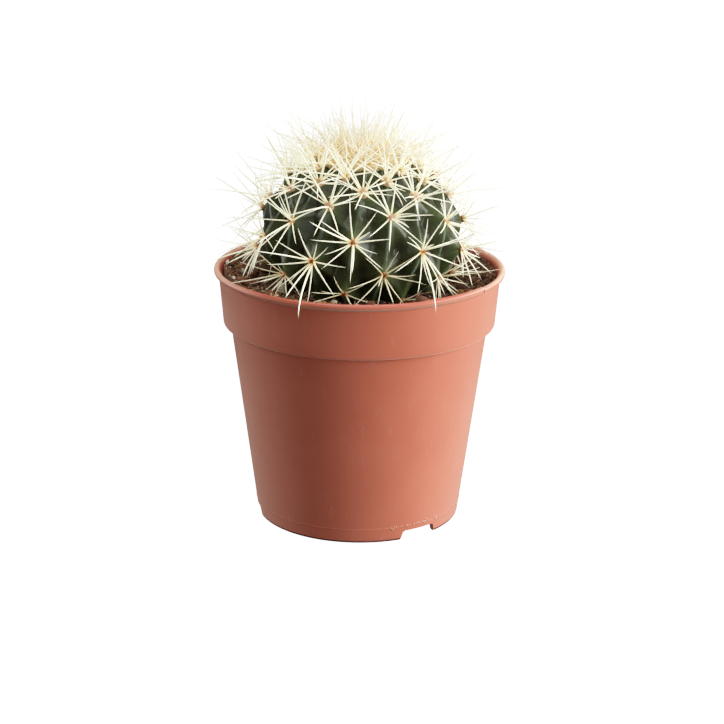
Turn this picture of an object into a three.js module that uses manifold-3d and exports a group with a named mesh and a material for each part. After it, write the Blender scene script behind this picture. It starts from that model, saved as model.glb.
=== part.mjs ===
// A round cactus with pale spines, growing in a plastic nursery pot.
// Millimetres, +Z up. The origin is the middle of the pot's foot, on the surface that it stands on.
// The front faces -Y, and an azimuth turns from there towards +X.

import * as THREE from 'three';
import { mergeVertices } from 'three/addons/utils/BufferGeometryUtils.js';
import Module from 'manifold-3d';

// Driving dimensions: fits
const GAP = 0.3;
const HOLE_MARGIN = 0.45;
const RING_STEPS = 48;

// Driving dimensions: pot
const RIM_RADIUS = 60;
const POT_HEIGHT = 106.1;
const LIP_RADIUS = 1.25;
const COLLAR_TOP_RADIUS = 58.25;
const COLLAR_FOOT_RADIUS = 56.2;
const COLLAR_FOOT = 82.4;
const COLLAR_ROUND = 1.1;
const COLLAR_UNDERSIDE = 1.5;
const NECK_RADIUS = 53.3;
const FOOT_RADIUS = 42.3;
const FOOT_ROUND = 0.5;
const FOOT_WALL = 2.2;
const WALL = 1.4;
const FLOOR_UNDERSIDE = 6;
const FLOOR_THICKNESS = 1.6;
const NOTCH_AZIMUTHS = [36.5, 156.5, -83.5];
const NOTCH_WIDTH = 16;
const NOTCH_HEIGHT = 4;
const NOTCH_ROUND = 1.5;
const CUT_MARGIN = 1;
const DRAIN_COUNT = 6;
const DRAIN_RADIUS = 3;
const DRAIN_RING = 24;
const DRAIN_SIDES = 10;

// Driving dimensions: soil
const SOIL_LEVEL = 98.3;
const SOIL_TILT = 1.5;
const SOIL_BANK = 4.4;
const BANK_FROM = 38;
const BANK_POWER = 1.4;
const SOIL_RINGS = [50, 45, 40, 34, 24];
const BROAD_HUMP = 0.6;
const BROAD_SPAN = 4.4;
const FINE_HUMP = 0.4;
const FINE_SPAN = 3.3;

// Driving dimensions: stem
const STEM_CENTRE = 119.8;
const STEM_RADIUS = 42.5;
const STEM_HALF_HEIGHT = 33.2;
const TURN = 99.695;
const FRONT_AZIMUTH = -3.7;
const SHORT_STEP = 7;
const LONG_STEP = 11;
const FRONT_SHARE = 0.807;
const CROWN_RATE = 0.0565;
const BELT_STEP = 0.0363;
const BURIED_FROM = 22;
const FIRST_AREOLE = -80;
const LAST_AREOLE = 45;
const RIB_DIP = 2.3;
const LONG_DIP = 3.2;
const SHORT_DIP = 4.6;
const PIT = 6.2;
const NOTCH_PLACE = 0.58;

// Driving dimensions: roots
const ROOT_RADII = [5.5, 4.2, 2.8, 1.5, 0.6];
const ROOT_DEPTHS = [0, 8, 22, 38, 46];
const ROOT_SIDES = 8;
const SIDE_ROOTS = 6;
const SIDE_ROOT_SIDES = 5;
const SIDE_ROOT_RADII = [2, 1.6, 1.1, 0.6];
const SIDE_ROOT_DEPTHS = [6, 9, 12];
const SIDE_ROOT_START = 1;
const SIDE_ROOT_REACH = 26;
const SIDE_ROOT_DROP = 20;
const SIDE_ROOT_BEND = 25;
const SIDE_ROOT_AZIMUTH = 20;

// Driving dimensions: spines
const TOP_CLUSTER = -33;
const BOTTOM_CLUSTER = 22;
const PAD_RADIUS = 2.1;
const PAD_RISE = 1.5;
const SPINE_RADIUS = 0.42;
const SPINE_SIDES = 3;
const SPINE_PARTING = 4;
const SPINE_ROOM = 0.78;
const REST_ROOM = 0.72;
const REST_STEPS = 20;
const RADIAL = { count: 8, fan: 360, length: [15, 19], lift: [16, 32], sway: 0.4, start: 1.2, rise: 0.6 };
const CENTRAL = { count: 3, fan: 360, length: [19, 26], lift: [45, 65], sway: 0.4, start: 0.5, rise: 0.75 };
const OVERHANGS = [{ n: 4, tip: [29.5, -61.2, 104.5] }, { n: 7, tip: [-23.4, -61.4, 104.4] }];
const SPREAD = 61.6;
const TOP_HEIGHT = 176.5;
const LEAST_SIZE = 0.8;
const LIP_DEPTH = 5;
const TRIES = 36;
const TRY_TURN = 3;
const TRY_LIFT = 1.1;
const TRY_LENGTH = 0.98;
const STEEPEST = 88;
const DOWNWARD = -90;
const CLUSTER_SEED = 9000;
const CROWN_SEED = 500;

// Driving dimensions: crown
const CROWN_LAST = -100;
const CROWN = { count: 4, fan: 240, length: [17, 26], lift: [38, 84], sway: 0.8, start: 0.3, rise: 0.9 };
const WOOL_RADIUS = 18.2;
const WOOL_MARGIN = 1.4;
const WOOL_RISE = 2.6;
const WOOL_EDGE = 1.3;
const WOOL_SIDES = 24;
const WOOL_RINGS = 4;

const wasm = await Module();
wasm.setup();

const UP = new THREE.Vector3(0, 0, 1);
const SPINE_AXIS = new THREE.Vector3(0, 1, 0);
const radians = THREE.MathUtils.degToRad;
const mix = THREE.MathUtils.lerp;

// Seeded draws, so that every build is the same
function seeded(seed) {
  let state = seed;
  return () => {
    state = (state + 0x6d2b79f5) | 0;
    let t = Math.imul(state ^ (state >>> 15), 1 | state);
    t = (t + Math.imul(t ^ (t >>> 7), 61 | t)) ^ t;
    return ((t ^ (t >>> 14)) >>> 0) / 4294967296;
  };
}

// Solids: from three.js geometry to a manifold solid and back
function welded(geometry) {
  const plain = geometry.clone();
  plain.deleteAttribute('normal');
  plain.deleteAttribute('uv');
  return mergeVertices(plain, 1e-4);
}

function solid(geometry) {
  const plain = welded(geometry);
  return new wasm.Manifold(new wasm.Mesh({
    numProp: 3,
    vertProperties: new Float32Array(plain.attributes.position.array),
    triVerts: new Uint32Array(plain.index.array),
  }));
}

function surface(body) {
  const mesh = body.getMesh();
  const geometry = new THREE.BufferGeometry();
  geometry.setAttribute('position', new THREE.BufferAttribute(mesh.vertProperties, 3));
  geometry.setIndex(new THREE.BufferAttribute(mesh.triVerts, 1));
  geometry.computeVertexNormals();
  return geometry;
}

function faceted(points, faces) {
  const geometry = new THREE.BufferGeometry().setFromPoints(points);
  geometry.setIndex(faces.flat());
  geometry.computeVertexNormals();
  return geometry;
}

// A profile of [radius, height] pairs turned round the Z axis
function turned(profile, sides) {
  const outline = profile.map(([radius, height]) => new THREE.Vector2(radius, height));
  return welded(new THREE.LatheGeometry(outline, sides).rotateX(Math.PI / 2));
}

// Points of a round or oval corner between two angles, given in degrees
function arc(radius, height, wide, from, to, steps, high = wide) {
  return Array.from({ length: steps + 1 }, (_, step) => {
    const angle = radians(mix(from, to, step / steps));
    return [radius + wide * Math.cos(angle), height + high * Math.sin(angle)];
  });
}

function atAzimuth(radius, azimuth, height) {
  const angle = radians(azimuth);
  return new THREE.Vector3(radius * Math.sin(angle), -radius * Math.cos(angle), height);
}

// The pot: a tapered cup with a wider collar, a rolled lip and a recessed, drained floor
function wallRadius(height) {
  return mix(FOOT_RADIUS, NECK_RADIUS, height / COLLAR_FOOT);
}

function collarRadius(height) {
  return mix(COLLAR_FOOT_RADIUS, COLLAR_TOP_RADIUS, (height - COLLAR_FOOT) / (POT_HEIGHT - COLLAR_FOOT));
}

const floorTop = FLOOR_UNDERSIDE + FLOOR_THICKNESS;
const ledge = COLLAR_FOOT + WALL;
const ledgeTop = ledge + COLLAR_ROUND;

function potGeometry() {
  const lipCentre = RIM_RADIUS - LIP_RADIUS;
  const lipHeight = POT_HEIGHT - LIP_RADIUS;
  const underside = NECK_RADIUS + COLLAR_UNDERSIDE;
  const roundTop = COLLAR_FOOT + COLLAR_ROUND;
  const outline = [
    [0, FLOOR_UNDERSIDE],
    [FOOT_RADIUS - FOOT_WALL, FLOOR_UNDERSIDE],
    [FOOT_RADIUS - FOOT_WALL, 0],
    [FOOT_RADIUS - FOOT_ROUND, 0],
    [wallRadius(FOOT_ROUND), FOOT_ROUND],
    [NECK_RADIUS, COLLAR_FOOT],
    ...arc(underside, roundTop, collarRadius(roundTop) - underside, -90, 0, 3, COLLAR_ROUND),
    [collarRadius(lipHeight - LIP_RADIUS), lipHeight - LIP_RADIUS],
    ...arc(lipCentre, lipHeight, LIP_RADIUS, -60, 120, 5),
    [collarRadius(lipHeight) - WALL, lipHeight],
    [collarRadius(ledgeTop) - WALL, ledgeTop],
    [NECK_RADIUS - WALL, ledge],
    [wallRadius(floorTop) - WALL, floorTop],
    [0, floorTop],
  ];
  let pot = solid(turned(outline, RING_STEPS));
  for (const azimuth of NOTCH_AZIMUTHS) {
    pot = pot.subtract(solid(notchGeometry(azimuth)));
  }
  for (let hole = 0; hole < DRAIN_COUNT; hole++) {
    pot = pot.subtract(solid(drainGeometry(hole)));
  }
  return surface(pot);
}

function notchGeometry(azimuth) {
  const half = NOTCH_WIDTH / 2;
  const shape = new THREE.Shape();
  shape.moveTo(-half, -CUT_MARGIN);
  shape.lineTo(half, -CUT_MARGIN);
  shape.lineTo(half, NOTCH_HEIGHT - NOTCH_ROUND);
  shape.lineTo(half - NOTCH_ROUND, NOTCH_HEIGHT);
  shape.lineTo(NOTCH_ROUND - half, NOTCH_HEIGHT);
  shape.lineTo(-half, NOTCH_HEIGHT - NOTCH_ROUND);
  shape.closePath();
  const depth = 3 * FOOT_WALL;
  const cutter = new THREE.ExtrudeGeometry(shape, { depth, bevelEnabled: false });
  cutter.translate(0, 0, FOOT_RADIUS - 2 * FOOT_WALL);
  return cutter.rotateX(Math.PI / 2).rotateZ(radians(azimuth));
}

function drainGeometry(hole) {
  const cutter = new THREE.CylinderGeometry(DRAIN_RADIUS, DRAIN_RADIUS, 3 * FLOOR_THICKNESS, DRAIN_SIDES);
  const place = atAzimuth(DRAIN_RING, (360 * hole) / DRAIN_COUNT, FLOOR_UNDERSIDE + FLOOR_THICKNESS / 2);
  return cutter.rotateX(Math.PI / 2).translate(place.x, place.y, place.z);
}

// The stem: areoles on a spiral, each on the peak of a tubercle.
// A place on its skin is (u, v), counted in short and long steps of the spiral from the front areole.
const shortTurn = SHORT_STEP * TURN - 2 * 360;
const longTurn = LONG_STEP * TURN - 3 * 360;
const buriedLeft = 2 - FRONT_SHARE - BELT_STEP * BURIED_FROM;
const buriedRate = BELT_STEP / buriedLeft;

// Share of the height, from 0 at the crown to 2 at the foot, that is above areole n
function share(n) {
  if (n < 0) return FRONT_SHARE * Math.exp(CROWN_RATE * n);
  if (n < BURIED_FROM) return FRONT_SHARE + BELT_STEP * n;
  return 2 - buriedLeft * Math.exp(-buriedRate * (n - BURIED_FROM));
}

// Size of a tubercle, against those of the belt
function relief(n) {
  if (n < 0) return Math.exp((CROWN_RATE * n) / 2);
  if (n < BURIED_FROM) return 1;
  return Math.exp((-buriedRate * (n - BURIED_FROM)) / 2);
}

function skinPoint(u, v, depth, grow) {
  const n = SHORT_STEP * u + LONG_STEP * v;
  const cosine = 1 - share(n);
  const azimuth = FRONT_AZIMUTH + shortTurn * u + longTurn * v;
  const point = atAzimuth(STEM_RADIUS * Math.sqrt(1 - cosine ** 2), azimuth, STEM_HALF_HEIGHT * cosine);
  point.setLength(point.length() - depth * relief(n) + grow);
  point.z += STEM_CENTRE;
  return point;
}

// The six kinds of corner that each areole n owns, as steps from it and a depth
const CORNERS = {
  areole: [0, 0, 0],
  short: [0.5, 0, SHORT_DIP],
  long: [0, NOTCH_PLACE, LONG_DIP],
  rib: [NOTCH_PLACE, NOTCH_PLACE, RIB_DIP],
  left: [0.7, 0.37, PIT],
  right: [0.37, 0.7, PIT],
};

function corner(kind, n, grow = 0) {
  const [u, v, depth] = CORNERS[kind];
  return skinPoint(u - 3 * n, v + 2 * n, depth, grow);
}

function stemGeometry(grow) {
  const ribStep = SHORT_STEP + LONG_STEP;
  const points = [];
  const places = new Map();
  const faces = [];
  const at = (kind, n) => {
    const key = `${kind} ${n}`;
    if (!places.has(key)) {
      places.set(key, points.length);
      points.push(corner(kind, n, grow));
    }
    return places.get(key);
  };
  const fan = (middle, rim) => {
    rim.forEach((place, k) => faces.push([middle, place, rim[(k + 1) % rim.length]]));
  };
  for (let n = FIRST_AREOLE; n <= LAST_AREOLE - ribStep; n++) {
    fan(at('left', n), [
      at('areole', n), at('short', n), at('areole', n + SHORT_STEP),
      at('long', n + SHORT_STEP), at('areole', n + ribStep), at('rib', n),
    ]);
    fan(at('right', n), [
      at('areole', n), at('rib', n), at('areole', n + ribStep),
      at('short', n + LONG_STEP), at('areole', n + LONG_STEP), at('long', n),
    ]);
  }
  // The open edges round the crown and the foot are closed with a fan each
  const edges = new Set(faces.flatMap(([a, b, c]) => [`${a} ${b}`, `${b} ${c}`, `${c} ${a}`]));
  const reach = STEM_HALF_HEIGHT + grow;
  const top = points.push(new THREE.Vector3(0, 0, STEM_CENTRE + reach)) - 1;
  const foot = points.push(new THREE.Vector3(0, 0, STEM_CENTRE - reach)) - 1;
  for (const edge of edges) {
    const [a, b] = edge.split(' ').map(Number);
    if (!edges.has(`${b} ${a}`)) faces.push([b, a, points[a].z > STEM_CENTRE ? top : foot]);
  }
  return faceted(points, faces);
}

// Roots: one tapering root below the stem, with side roots that grow out of it
const rootTop = STEM_CENTRE - STEM_HALF_HEIGHT - GAP;

function rootPiece(points, radii, sides) {
  const rings = points.map((point, k) => {
    const along = new THREE.Vector3().subVectors(
      points[Math.min(k + 1, points.length - 1)], points[Math.max(k - 1, 0)]).normalize();
    const turn = new THREE.Quaternion().setFromUnitVectors(UP, along);
    return Array.from({ length: sides }, (_, side) => {
      const angle = (2 * Math.PI * side) / sides;
      const spoke = new THREE.Vector3(Math.cos(angle), Math.sin(angle), 0).multiplyScalar(radii[k]);
      return spoke.applyQuaternion(turn).add(point);
    });
  });
  const faces = [];
  const last = (rings.length - 1) * sides;
  for (let side = 0; side < sides; side++) {
    const next = (side + 1) % sides;
    for (let row = 0; row < last; row += sides) {
      faces.push([row + side, row + next, row + sides + next]);
      faces.push([row + side, row + sides + next, row + sides + side]);
    }
    if (side > 0 && next > 0) {
      faces.push([0, next, side]);
      faces.push([last, last + side, last + next]);
    }
  }
  return faceted(rings.flat(), faces);
}

function rootsSolid(grow) {
  const path = ROOT_DEPTHS.map((depth) => new THREE.Vector3(0, 0, rootTop - depth));
  path[0].z += grow;
  path[path.length - 1].z -= grow;
  let roots = solid(rootPiece(path, ROOT_RADII.map((radius) => radius + grow), ROOT_SIDES));
  for (let k = 0; k < SIDE_ROOTS; k++) {
    const radii = SIDE_ROOT_RADII.map((radius) => radius + grow);
    roots = roots.add(solid(rootPiece(sideRootPath(k), radii, SIDE_ROOT_SIDES)));
  }
  return roots;
}

function sideRootPath(k) {
  const azimuth = SIDE_ROOT_AZIMUTH + (360 * k) / SIDE_ROOTS;
  const bend = k % 2 ? SIDE_ROOT_BEND : -SIDE_ROOT_BEND;
  const start = rootTop - SIDE_ROOT_DEPTHS[k % SIDE_ROOT_DEPTHS.length];
  return SIDE_ROOT_RADII.map((_, step) => {
    const part = step / (SIDE_ROOT_RADII.length - 1);
    const height = start - SIDE_ROOT_DROP * part ** 2;
    return atAzimuth(SIDE_ROOT_START + SIDE_ROOT_REACH * part, azimuth + bend * part, height);
  });
}

// The soil: fills the pot up to an uneven top that is banked up against the wall, with plain holes
// for the stem and the roots
const soilInside = WALL + GAP;
const soilEdge = collarRadius(SOIL_LEVEL) - soilInside;

function soilHeight(x, y) {
  const slope = (-SOIL_TILT * x) / NECK_RADIUS;
  const out = Math.max(Math.hypot(x, y) - BANK_FROM, 0) / (soilEdge - BANK_FROM);
  const bank = SOIL_BANK * out ** BANK_POWER;
  const broad = BROAD_HUMP * Math.sin(x / BROAD_SPAN + 1) * Math.cos(y / BROAD_SPAN);
  const fine = FINE_HUMP * Math.sin((x + 2 * y) / FINE_SPAN);
  return SOIL_LEVEL + slope + bank + broad + fine;
}

function soilGeometry() {
  const top = STEM_CENTRE;
  const outline = [
    [0, floorTop + GAP],
    [wallRadius(floorTop) - soilInside, floorTop + GAP],
    [NECK_RADIUS - soilInside, ledge + GAP],
    [collarRadius(ledgeTop) - soilInside, ledgeTop + GAP],
    [soilEdge, top],
    ...SOIL_RINGS.map((radius) => [radius, top]),
    [0, top],
  ];
  const geometry = turned(outline, RING_STEPS);
  const place = geometry.attributes.position;
  for (let k = 0; k < place.count; k++) {
    if (Math.abs(place.getZ(k) - top) < GAP) place.setZ(k, soilHeight(place.getX(k), place.getY(k)));
  }
  const hole = solid(stemGeometry(HOLE_MARGIN)).add(rootsSolid(GAP));
  return surface(solid(geometry).subtract(hole));
}

// Spines: straight needles that keep clear of each other, of the soil and of the pot
const placed = [];
const pads = [];

function between(draw, [low, high]) {
  return mix(low, high, draw());
}

// Least distance between two straight needles, each given by its ends
function needleDistance(first, second) {
  const a = new THREE.Vector3().subVectors(first.tip, first.root);
  const b = new THREE.Vector3().subVectors(second.tip, second.root);
  const c = new THREE.Vector3().subVectors(first.root, second.root);
  const aa = a.dot(a);
  const bb = b.dot(b);
  const ab = a.dot(b);
  const clamp = (value) => Math.min(Math.max(value, 0), 1);
  let s = clamp((ab * b.dot(c) - a.dot(c) * bb) / Math.max(aa * bb - ab * ab, 1e-6));
  const t = clamp((ab * s + b.dot(c)) / bb);
  s = clamp((ab * t - a.dot(c)) / aa);
  return c.addScaledVector(a, s).addScaledVector(b, -t).length();
}

function clearOfRest(needle) {
  for (let step = 1; step <= REST_STEPS; step++) {
    const point = new THREE.Vector3().lerpVectors(needle.root, needle.tip, step / REST_STEPS);
    const radius = Math.hypot(point.x, point.y);
    if (radius < RIM_RADIUS && point.z < soilHeight(point.x, point.y) + REST_ROOM) return false;
    const overLip = radius > RIM_RADIUS - LIP_DEPTH && radius < RIM_RADIUS + REST_ROOM;
    if (overLip && point.z < POT_HEIGHT + REST_ROOM) return false;
    const overWool = needle.owner >= TOP_CLUSTER && radius < WOOL_RADIUS + REST_ROOM;
    if (overWool && point.z < woolTop(radius) + REST_ROOM) return false;
  }
  return true;
}

function clearOfSpines(needle) {
  for (const other of placed) {
    const near = other.owner === needle.owner
      ? other.tip.distanceTo(needle.tip) < SPINE_PARTING
      : needleDistance(needle, other) < SPINE_ROOM;
    if (near) return false;
  }
  for (const pad of pads) {
    const dot = { root: pad.centre, tip: pad.top };
    if (pad.owner !== needle.owner && needleDistance(needle, dot) < pad.radius + SPINE_ROOM) return false;
  }
  return true;
}

function withinSpread(root, direction, length) {
  let reach = length;
  for (const axis of ['x', 'y']) {
    const limit = Math.sign(direction[axis]) * SPREAD;
    if (direction[axis] !== 0) reach = Math.min(reach, (limit - root[axis]) / direction[axis]);
  }
  if (direction.z > 0) reach = Math.min(reach, (TOP_HEIGHT - root.z) / direction.z);
  return reach;
}

// A point at a bearing round an areole
function onSeat(seat, bearing, radius, rise) {
  const angle = radians(bearing);
  return seat.centre.clone()
    .addScaledVector(seat.across, seat.size * radius * Math.cos(angle))
    .addScaledVector(seat.up, seat.size * radius * Math.sin(angle))
    .addScaledVector(seat.out, rise);
}

// Tries a needle along a bearing, and lifts, turns and shortens it until it is clear
function placeNeedle(draw, seat, kind, first) {
  const lift = between(draw, kind.lift);
  const length = between(draw, kind.length);
  for (let attempt = 0; attempt < TRIES; attempt++) {
    const bearing = first + (draw() - 0.5) * attempt * TRY_TURN;
    const rise = radians(Math.min(lift + TRY_LIFT * attempt, STEEPEST));
    const root = onSeat(seat, bearing, kind.start, seat.size * kind.rise);
    const sideways = onSeat(seat, bearing, 1, 0).sub(seat.centre).normalize();
    const direction = sideways.multiplyScalar(Math.cos(rise)).addScaledVector(seat.out, Math.sin(rise));
    const reach = withinSpread(root, direction, length * TRY_LENGTH ** attempt);
    const needle = { owner: seat.n, root, tip: root.clone().addScaledVector(direction, reach) };
    if (clearOfRest(needle) && clearOfSpines(needle)) {
      placed.push(needle);
      return needle;
    }
  }
  return null;
}

// A ring of needles round an areole, joined to a body
function withNeedles(body, draw, seat, kind, turn) {
  let joined = body;
  for (let k = 0; k < kind.count; k++) {
    const bearing = turn + (kind.fan * (k + kind.sway * (draw() - 0.5))) / kind.count;
    const needle = placeNeedle(draw, seat, kind, bearing);
    if (needle) joined = joined.add(needleSolid(needle));
  }
  return joined;
}

function needleSolid(needle) {
  const along = new THREE.Vector3().subVectors(needle.tip, needle.root);
  const length = along.length();
  const cone = new THREE.ConeGeometry(SPINE_RADIUS, length, SPINE_SIDES);
  cone.translate(0, length / 2, 0);
  cone.applyQuaternion(new THREE.Quaternion().setFromUnitVectors(SPINE_AXIS, along.normalize()));
  cone.translate(needle.root.x, needle.root.y, needle.root.z);
  return solid(cone);
}

// The place of areole n, its size, and its directions: out of the skin, up along it and across it
function seatAt(n, centre) {
  const out = new THREE.Vector3(centre.x, centre.y, 0).divideScalar(STEM_RADIUS ** 2);
  out.z = (centre.z - STEM_CENTRE) / STEM_HALF_HEIGHT ** 2;
  out.normalize();
  const across = new THREE.Vector3().crossVectors(UP, out).normalize();
  const up = new THREE.Vector3().crossVectors(out, across);
  return { n, centre, out, across, up, size: mix(LEAST_SIZE, 1, relief(n)) };
}

// A felt pad: a low drum whose sides face its radial spines and whose underside fits the peak
function padGeometry(seat, turn) {
  const sides = RADIAL.count;
  const ring = (rise) => Array.from({ length: sides }, (_, side) => onSeat(
    seat, turn + (360 * (side + 0.5)) / sides, PAD_RADIUS, rise));
  const points = [onSeat(seat, 0, 0, GAP), ...ring(0), ...ring(seat.size * PAD_RISE)];
  const faces = [];
  for (let side = 0; side < sides; side++) {
    const low = 1 + side;
    const lowNext = 1 + ((side + 1) % sides);
    const top = 1 + sides;
    faces.push([0, lowNext, low], [low, lowNext, sides + lowNext], [low, sides + lowNext, sides + low]);
    if (side > 0 && side < sides - 1) faces.push([top, top + side, top + side + 1]);
  }
  return faceted(points, faces);
}

// One areole: a felt pad with its fan of radial spines and its few central ones
function clusterGeometry(seat) {
  const draw = seeded(CLUSTER_SEED + seat.n);
  const turn = 360 * draw();
  let cluster = solid(padGeometry(seat, turn));
  cluster = withNeedles(cluster, draw, seat, RADIAL, turn);
  cluster = withNeedles(cluster, draw, seat, CENTRAL, DOWNWARD);
  for (const needle of placed.filter((other) => other.hangs && other.owner === seat.n)) {
    cluster = cluster.add(needleSolid(needle));
  }
  return surface(cluster);
}

// The long spines that hang over the lip are laid first, and the rest keep clear of them
function layOverhang({ n, tip }) {
  const seat = seatAt(n, corner('areole', n));
  const root = seat.centre.clone().addScaledVector(seat.out, seat.size * CENTRAL.rise);
  placed.push({ owner: n, root, tip: new THREE.Vector3(...tip), hangs: true });
}

// The crown: a felt cap over the growing point, which the youngest spines stand out of
function crownHeight(radius) {
  return STEM_CENTRE + STEM_HALF_HEIGHT * Math.sqrt(1 - (radius / STEM_RADIUS) ** 2);
}

function woolTop(radius) {
  return crownHeight(radius) + mix(WOOL_RISE, WOOL_EDGE, (radius / WOOL_RADIUS) ** 2);
}

function crownGeometry() {
  const radii = Array.from({ length: WOOL_RINGS + 1 }, (_, k) => (WOOL_RADIUS * k) / WOOL_RINGS);
  const under = radii.map((radius) => [radius, crownHeight(radius) + GAP]);
  const over = radii.map((radius) => [radius, woolTop(radius)]);
  let crown = solid(turned([...under, ...over.reverse()], WOOL_SIDES));
  for (let n = TOP_CLUSTER - 1; n >= CROWN_LAST; n--) {
    const areole = corner('areole', n);
    const radius = Math.min(Math.hypot(areole.x, areole.y), WOOL_RADIUS - WOOL_MARGIN);
    const centre = atAzimuth(radius, FRONT_AZIMUTH + TURN * n, crownHeight(radius));
    const turn = DOWNWARD - (CROWN.fan * (CROWN.count - 1)) / (2 * CROWN.count);
    crown = withNeedles(crown, seeded(CROWN_SEED - n), seatAt(n, centre), CROWN, turn);
  }
  return surface(crown);
}

// Finishes: colour, roughness
const FINISHES = {
  pot: [0xb8583f, 0.55],
  soil: [0x3a2a20, 0.95],
  stem: [0x3f5b39, 0.45],
  roots: [0x8a6a48, 0.9],
  spines: [0xf0e6c4, 0.5],
  crown: [0xe9d8a8, 0.7],
};

function named(name, geometry, finish) {
  const [color, roughness] = FINISHES[finish];
  const mesh = new THREE.Mesh(geometry, new THREE.MeshStandardMaterial({ color, roughness, metalness: 0 }));
  mesh.name = name;
  return mesh;
}

const cactus = new THREE.Group();
cactus.add(named('pot', potGeometry(), 'pot'));
cactus.add(named('soil', soilGeometry(), 'soil'));
cactus.add(named('roots', surface(rootsSolid(0)), 'roots'));
cactus.add(named('stem', stemGeometry(0), 'stem'));

const seats = [];
for (let n = TOP_CLUSTER; n <= BOTTOM_CLUSTER; n++) {
  const seat = seatAt(n, corner('areole', n));
  const { centre, out, size } = seat;
  if (centre.z - soilHeight(centre.x, centre.y) < PAD_RISE) continue;
  seats.push(seat);
  const top = centre.clone().addScaledVector(out, size * PAD_RISE);
  pads.push({ owner: n, centre, top, radius: size * PAD_RADIUS });
}
OVERHANGS.forEach(layOverhang);
seats.forEach((seat, k) => {
  const label = String(k + 1).padStart(2, '0');
  cactus.add(named(`spines_${label}`, clusterGeometry(seat), 'spines'));
});
cactus.add(named('crown', crownGeometry(), 'crown'));

export default cactus;
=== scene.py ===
# A potted round cactus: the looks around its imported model.
# Lengths are millimetres until a mesh is made. +Z is up, the front faces -Y, and an azimuth turns
# from there towards +X.

import math

import bmesh
import bpy
import numpy as np
from mathutils import Euler, Matrix, Vector


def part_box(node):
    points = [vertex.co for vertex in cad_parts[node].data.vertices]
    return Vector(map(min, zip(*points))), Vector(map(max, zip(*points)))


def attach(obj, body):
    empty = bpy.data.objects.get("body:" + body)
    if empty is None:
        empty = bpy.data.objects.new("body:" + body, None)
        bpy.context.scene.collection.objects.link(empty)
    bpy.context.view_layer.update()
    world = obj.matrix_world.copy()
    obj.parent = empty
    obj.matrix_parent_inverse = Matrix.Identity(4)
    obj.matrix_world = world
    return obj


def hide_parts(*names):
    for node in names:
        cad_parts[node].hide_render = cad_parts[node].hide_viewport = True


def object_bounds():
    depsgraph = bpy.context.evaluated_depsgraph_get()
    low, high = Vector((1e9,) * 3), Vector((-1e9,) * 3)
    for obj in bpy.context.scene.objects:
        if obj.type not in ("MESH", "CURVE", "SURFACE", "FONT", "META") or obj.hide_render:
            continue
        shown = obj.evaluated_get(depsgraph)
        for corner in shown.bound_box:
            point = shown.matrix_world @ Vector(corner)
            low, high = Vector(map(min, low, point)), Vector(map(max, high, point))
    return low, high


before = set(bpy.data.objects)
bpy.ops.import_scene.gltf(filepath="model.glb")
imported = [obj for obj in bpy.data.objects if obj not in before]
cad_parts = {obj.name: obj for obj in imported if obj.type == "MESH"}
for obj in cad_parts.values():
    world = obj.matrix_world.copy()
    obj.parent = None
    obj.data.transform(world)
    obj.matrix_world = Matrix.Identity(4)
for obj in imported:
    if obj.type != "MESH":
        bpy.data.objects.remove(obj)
CAD_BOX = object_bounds()

MM = 0.001
BODY = "root"

# Picture and camera
FRAME_PX = 724
FOCAL_PX = 2054.38
SENSOR_MM = 36
CAMERA_PLACE = (1.26, -818.23, 326.61)
CAMERA_PITCH = 17.784
CAMERA_ROLL = 0.548
SEEN_METRES = (0.05, 400)

# Tones: even up to the shoulder, then bent towards white
SHOULDER_FROM = 0.1
WHITE_LEVEL = 2.5
SHOULDER_BEND = 2.43
SHOULDER_STEPS = 28

# Lights and floor
AIM_HEIGHT = 90
LIGHT_REACH = 850
WORLD_LIGHT = 0.04
FLOOR_METRES = 150.0
# Name, azimuth, elevation, width and watts of each light
SOFTBOXES = (
    ("key", 68, 14, 420, 13.2),
    ("side_right", 98, 14, 420, 13.5),
    ("side_left", -108, 14, 420, 5.2),
    ("fill", 0, 14, 420, 1.9),
    ("above", 20, 84, 700, 12.0),
    ("bounce", 20, -72, 600, 1.6),
)

# Noise, lumps and needles
RIPPLE_WAVES = 14
RIPPLE_PITCHES = (0.6, 1.6)
LUMP_WAVES = 5
LUMP_PITCH = 2.2
LUMP_PHASE = 6.28
SPINE_SIDES = 6
SPINE_STEPS = 9
ROOT_CROWDING = 1.15
ROOT_SWELL = 0.3
SWELL_SHARE = 0.03
SKEW = (0.31, 0.22, 0.93)

# Pot
POT_STEPS = 360
POT_CREASE = 38
LIP_RADIUS = 1.25
LIP_HIGH = 3.2
COLLAR_TOP_RADIUS = 58.25
COLLAR_FOOT_RADIUS = 56.2
COLLAR_FOOT = 82.4
COLLAR_ROUND = 1.1
COLLAR_UNDERSIDE = 1.5
NECK_RADIUS = 53.3
NECK_BEVEL = 0.15
FOOT_RADIUS = 42.3
FOOT_ROUND = 0.5
FOOT_BEVEL = 0.4
FOOT_EDGE = 1.0
FOOT_WALL = 2.2
WALL = 1.4
FLOOR_UNDERSIDE = 6
FLOOR_THICKNESS = 1.6
FLOOR_BEVEL = 0.6
NOTCH_AZIMUTHS = (36.5, 156.5, -83.5)
NOTCH_WIDTH = 16
NOTCH_HEIGHT = 4
NOTCH_ROUND = 1.5
DRAIN_COUNT = 6
DRAIN_RADIUS = 3
DRAIN_RING = 24
DRAIN_SIDES = 32
LIP_LIFT = 0.34
LIP_LIFT_FROM = 23
LIP_LIFT_TO = 56
LIP_LIFT_RUN = 5
SLIT_WIDTH = 0.5
SLIT_DEPTH = 0.6
# Lobes, height and phase of the waves that pull the wall out of round
WALL_WAVES = ((3, 0.1, 0.6), (5, 0.06, 2))

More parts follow.
